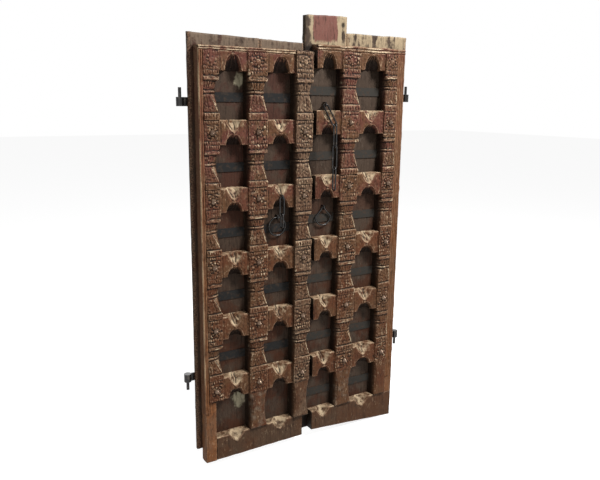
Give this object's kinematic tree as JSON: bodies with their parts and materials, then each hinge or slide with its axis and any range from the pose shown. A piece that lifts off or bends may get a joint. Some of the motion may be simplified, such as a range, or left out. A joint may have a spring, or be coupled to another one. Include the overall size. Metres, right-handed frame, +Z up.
{
  "type": "carved temple door",
  "caption": "Carved wooden temple door of paired leaves with waisted pilasters, scooped rails, iron bands, boss nails, pull rings and chains on strap hinges.",
  "frame": {"origin": "under the middle of the whole door, level with its lowest corner", "axes": "+X across the door to the right seen from the carved side, +Y to the rear, +Z up"},
  "size_m": [1.264, 0.1726, 2.104],
  "materials": {
    "band_iron": "forged and dull",
    "batten_nail_iron": "forged and dull",
    "batten_wood": "worn paint over weathered wood",
    "block_wood": "worn paint over weathered wood",
    "boss_iron": "forged and dull",
    "chain_iron": "forged and dull",
    "hinge_iron": "forged and dull",
    "pilaster_wood": "worn paint over weathered wood",
    "pin_iron": "forged and dull",
    "plank_wood": "worn paint over weathered wood",
    "rail_wood": "worn paint over weathered wood",
    "staple_iron": "forged and dull",
    "stile_wood": "worn paint over weathered wood"
  },
  "bodies": {
    "hinge_pins": {"left_lower_pin": "pin_iron", "left_upper_pin": "pin_iron", "right_lower_pin": "pin_iron", "right_upper_pin": "pin_iron"},
    "left_leaf": {"left_batten_1": "batten_wood", "left_batten_2": "batten_wood", "left_batten_3": "batten_wood", "left_batten_nails": "batten_nail_iron", "left_boss_nails": "boss_iron", "left_bottom_rail": "rail_wood", "left_chain_staple": "staple_iron", "left_edge_stile": "stile_wood", "left_half_pilaster": "pilaster_wood", "left_inner_plank": "plank_wood", "left_iron_bands": "band_iron", "left_lower_hinge": "hinge_iron", "left_meeting_pilaster": "pilaster_wood", "left_middle_pilaster": "pilaster_wood", "left_outer_plank": "plank_wood", "left_rail_1": "rail_wood", "left_rail_2": "rail_wood", "left_rail_3": "rail_wood", "left_rail_4": "rail_wood", "left_rail_5": "rail_wood", "left_ring_staple": "staple_iron", "left_top_rail": "rail_wood", "left_upper_hinge": "hinge_iron"},
    "right_leaf": {"right_batten_1": "batten_wood", "right_batten_2": "batten_wood", "right_batten_3": "batten_wood", "right_batten_nails": "batten_nail_iron", "right_boss_nails": "boss_iron", "right_bottom_rail": "rail_wood", "right_chain_staple": "staple_iron", "right_edge_stile": "stile_wood", "right_half_pilaster": "pilaster_wood", "right_inner_plank": "block_wood", "right_iron_bands": "band_iron", "right_lower_hinge": "hinge_iron", "right_middle_pilaster": "pilaster_wood", "right_outer_plank": "plank_wood", "right_rail_1": "rail_wood", "right_rail_2": "rail_wood", "right_rail_3": "rail_wood", "right_rail_4": "rail_wood", "right_rail_5": "rail_wood", "right_ring_staple": "staple_iron", "right_top_rail": "rail_wood", "right_upper_hinge": "hinge_iron"},
    "left_chain_link_1": {"left_chain_link_1": "chain_iron"},
    "left_chain_link_2": {"left_chain_link_2": "chain_iron"},
    "left_pull_ring": {"left_pull_ring": "chain_iron"},
    "right_chain_link_1": {"right_chain_link_1": "chain_iron"},
    "right_chain_link_2": {"right_chain_link_2": "chain_iron"},
    "right_chain_link_3": {"right_chain_link_3": "chain_iron"},
    "right_chain_link_4": {"right_chain_link_4": "chain_iron"},
    "right_pull_ring": {"right_pull_ring": "chain_iron"}
  },
  "joints": [
    {"name": "right_leaf_swing", "type": "hinge", "parent": "hinge_pins", "child": "right_leaf", "pos_m": [0.6155, 0.05726, 1], "axis": [0, 0, -1], "range_deg": [0, 100]},
    {"name": "left_leaf_swing", "type": "hinge", "parent": "hinge_pins", "child": "left_leaf", "pos_m": [-0.6155, 0.05726, 1], "axis": [0, 0, 1], "range_deg": [0, 90]},
    {"name": "left_ring_swing", "type": "hinge", "parent": "left_leaf", "child": "left_pull_ring", "pos_m": [-0.1655, 0.01826, 1.177], "axis": [-1, 0, 0], "range_deg": [0, 85]},
    {"name": "right_ring_swing", "type": "hinge", "parent": "right_leaf", "child": "right_pull_ring", "pos_m": [0.092, 0.01826, 1.20475], "axis": [-1, 0, 0], "range_deg": [0, 85]},
    {"name": "left_chain_lift", "type": "hinge", "parent": "left_leaf", "child": "left_chain_link_1", "pos_m": [-0.1655, -0.02774, 1.278], "axis": [-1, 0, 0], "range_deg": [0, 90]},
    {"name": "left_chain_end_swing", "type": "hinge", "parent": "left_chain_link_1", "child": "left_chain_link_2", "pos_m": [-0.1655, -0.02774, 1.191], "axis": [-1, 0, 0], "range_deg": [0, 60]},
    {"name": "right_chain_lift", "type": "hinge", "parent": "right_leaf", "child": "right_chain_link_1", "pos_m": [0.092, 0.01826, 1.698], "axis": [-1, 0, 0], "range_deg": [0, 100]},
    {"name": "right_chain_swing_2", "type": "hinge", "parent": "right_chain_link_1", "child": "right_chain_link_2", "pos_m": [0.092, -0.07177, 1.60146], "axis": [-1, 0, 0], "range_deg": [-5, 60]},
    {"name": "right_chain_swing_3", "type": "hinge", "parent": "right_chain_link_2", "child": "right_chain_link_3", "pos_m": [0.092, -0.07177, 1.50079], "axis": [0, 1, 0], "range_deg": [-35, 35]},
    {"name": "right_chain_swing_4", "type": "hinge", "parent": "right_chain_link_3", "child": "right_chain_link_4", "pos_m": [0.092, -0.07177, 1.40012], "axis": [-1, 0, 0], "range_deg": [-5, 60]}
  ],
  "couplings": [
    {"joint": "left_leaf_swing", "follows": "right_leaf_swing", "ratio": 0.9}
  ]
}
